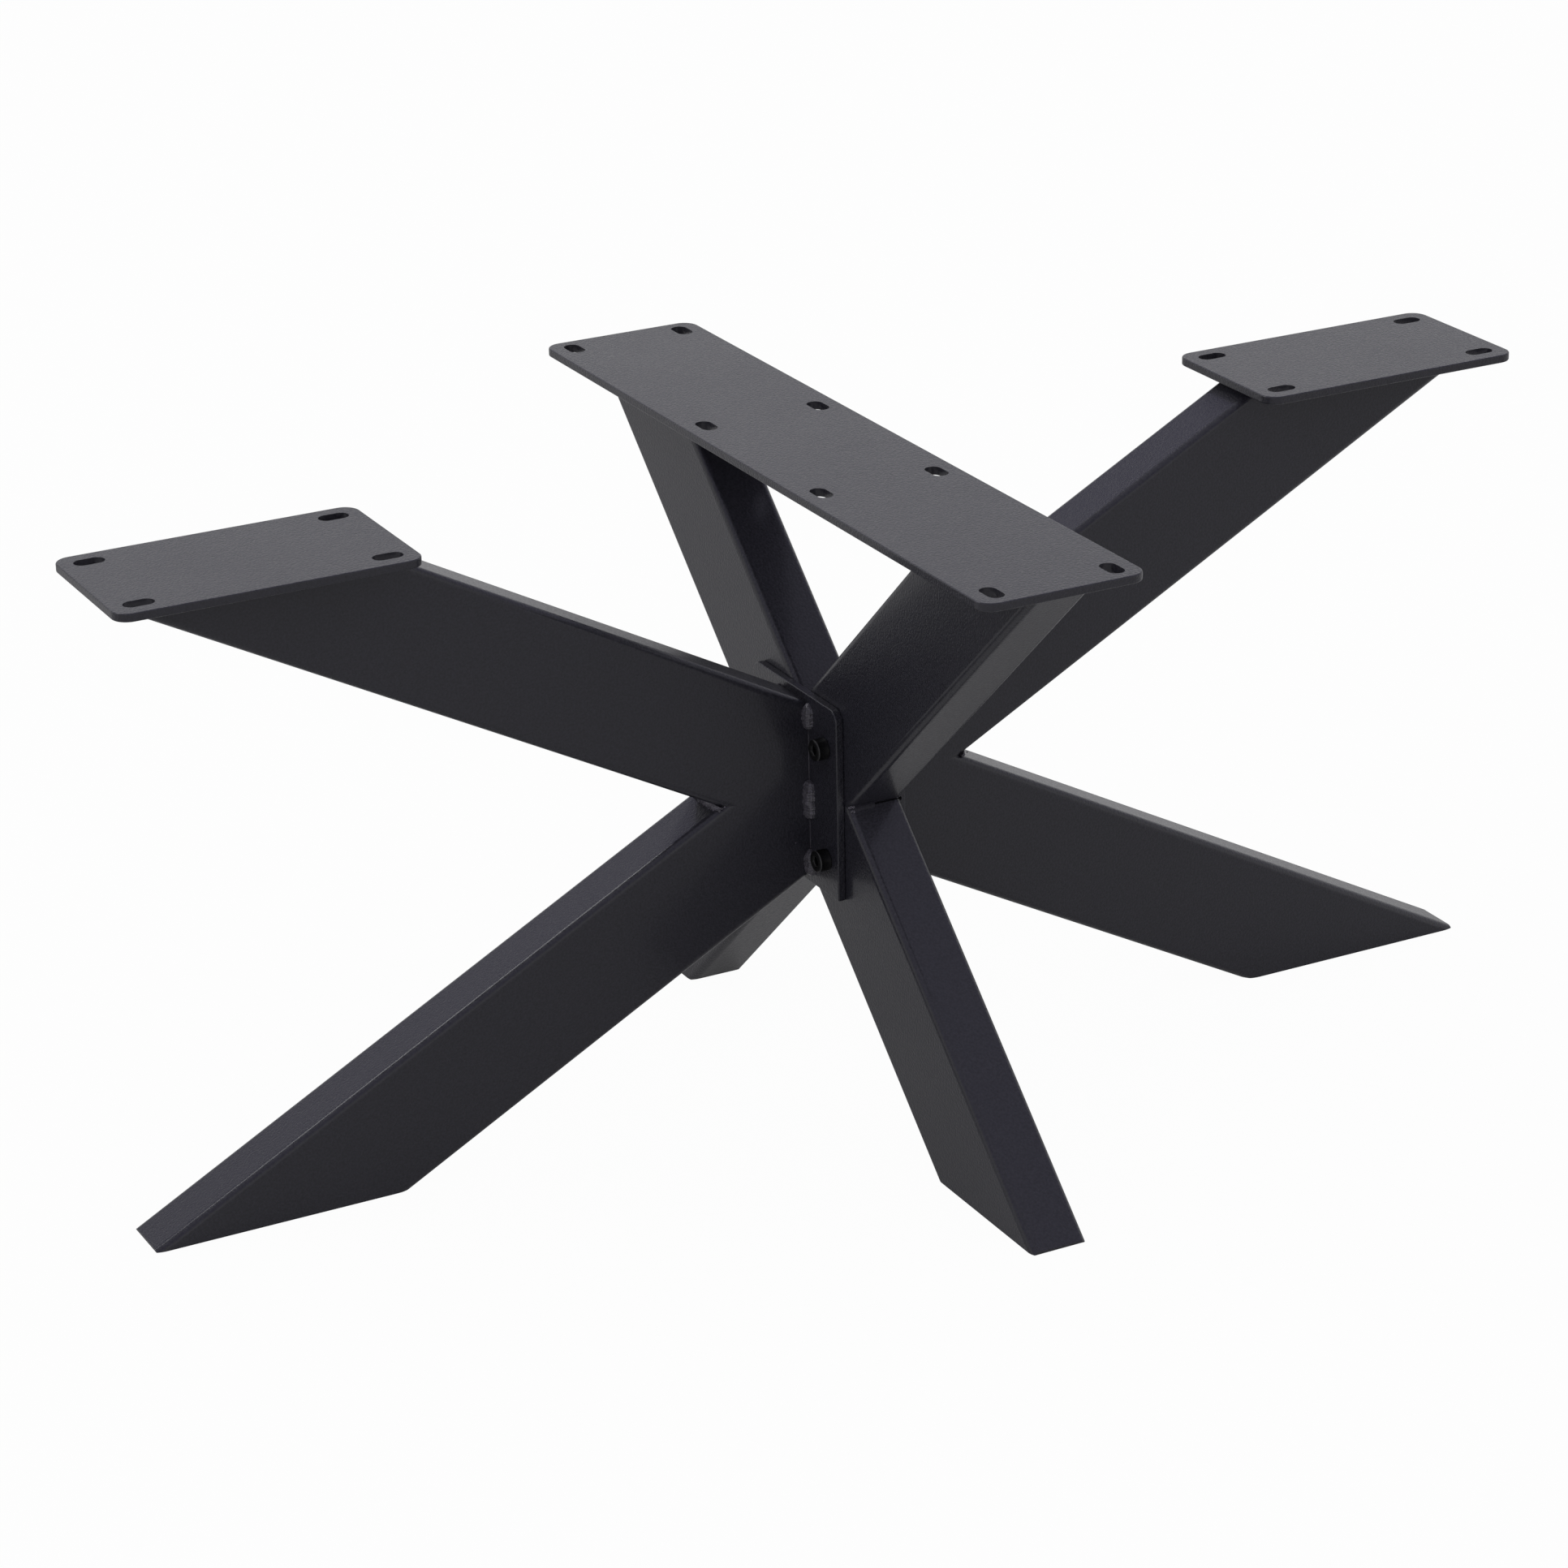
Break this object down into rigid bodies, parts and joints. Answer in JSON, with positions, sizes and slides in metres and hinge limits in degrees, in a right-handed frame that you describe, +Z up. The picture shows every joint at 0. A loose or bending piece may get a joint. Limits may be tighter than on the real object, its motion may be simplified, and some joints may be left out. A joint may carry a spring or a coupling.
{
  "type": "spider table base",
  "caption": "Low spider table base of crossed rectangular steel tubes in matte black, with slotted top plates and bolted flange joints.",
  "frame": {"origin": "on the floor, under the middle of the base", "axes": "+X along the base towards the right side frame, +Y across it towards the back leg, +Z up"},
  "size_m": [0.91, 0.55, 0.4],
  "materials": {
    "powder_coat": "fine textured matte black powder coat on welded steel",
    "black_screws": "black oxide on steel, slightly oily",
    "plain_steel": "bare turned steel"
  },
  "bodies": {
    "root": {"centre_foot_cap_back": "powder_coat", "centre_foot_cap_front": "powder_coat", "centre_lower_leg_back": "powder_coat", "centre_lower_leg_front": "powder_coat", "centre_notch_weld_back": "powder_coat", "centre_notch_weld_front": "powder_coat", "centre_top_plate": "powder_coat", "centre_upper_arm_back": "powder_coat", "centre_upper_arm_front": "powder_coat", "left_cap_screws": "black_screws", "left_flange_plate": "powder_coat", "left_flange_welds": "powder_coat", "left_foot_cap": "powder_coat", "left_lower_leg": "powder_coat", "left_notch_weld": "powder_coat", "left_thread_bushes": "plain_steel", "left_top_plate": "powder_coat", "left_upper_arm": "powder_coat", "right_cap_screws": "black_screws", "right_flange_plate": "powder_coat", "right_flange_welds": "powder_coat", "right_foot_cap": "powder_coat", "right_lower_leg": "powder_coat", "right_notch_weld": "powder_coat", "right_thread_bushes": "plain_steel", "right_top_plate": "powder_coat", "right_upper_arm": "powder_coat"}
  },
  "joints": []
}
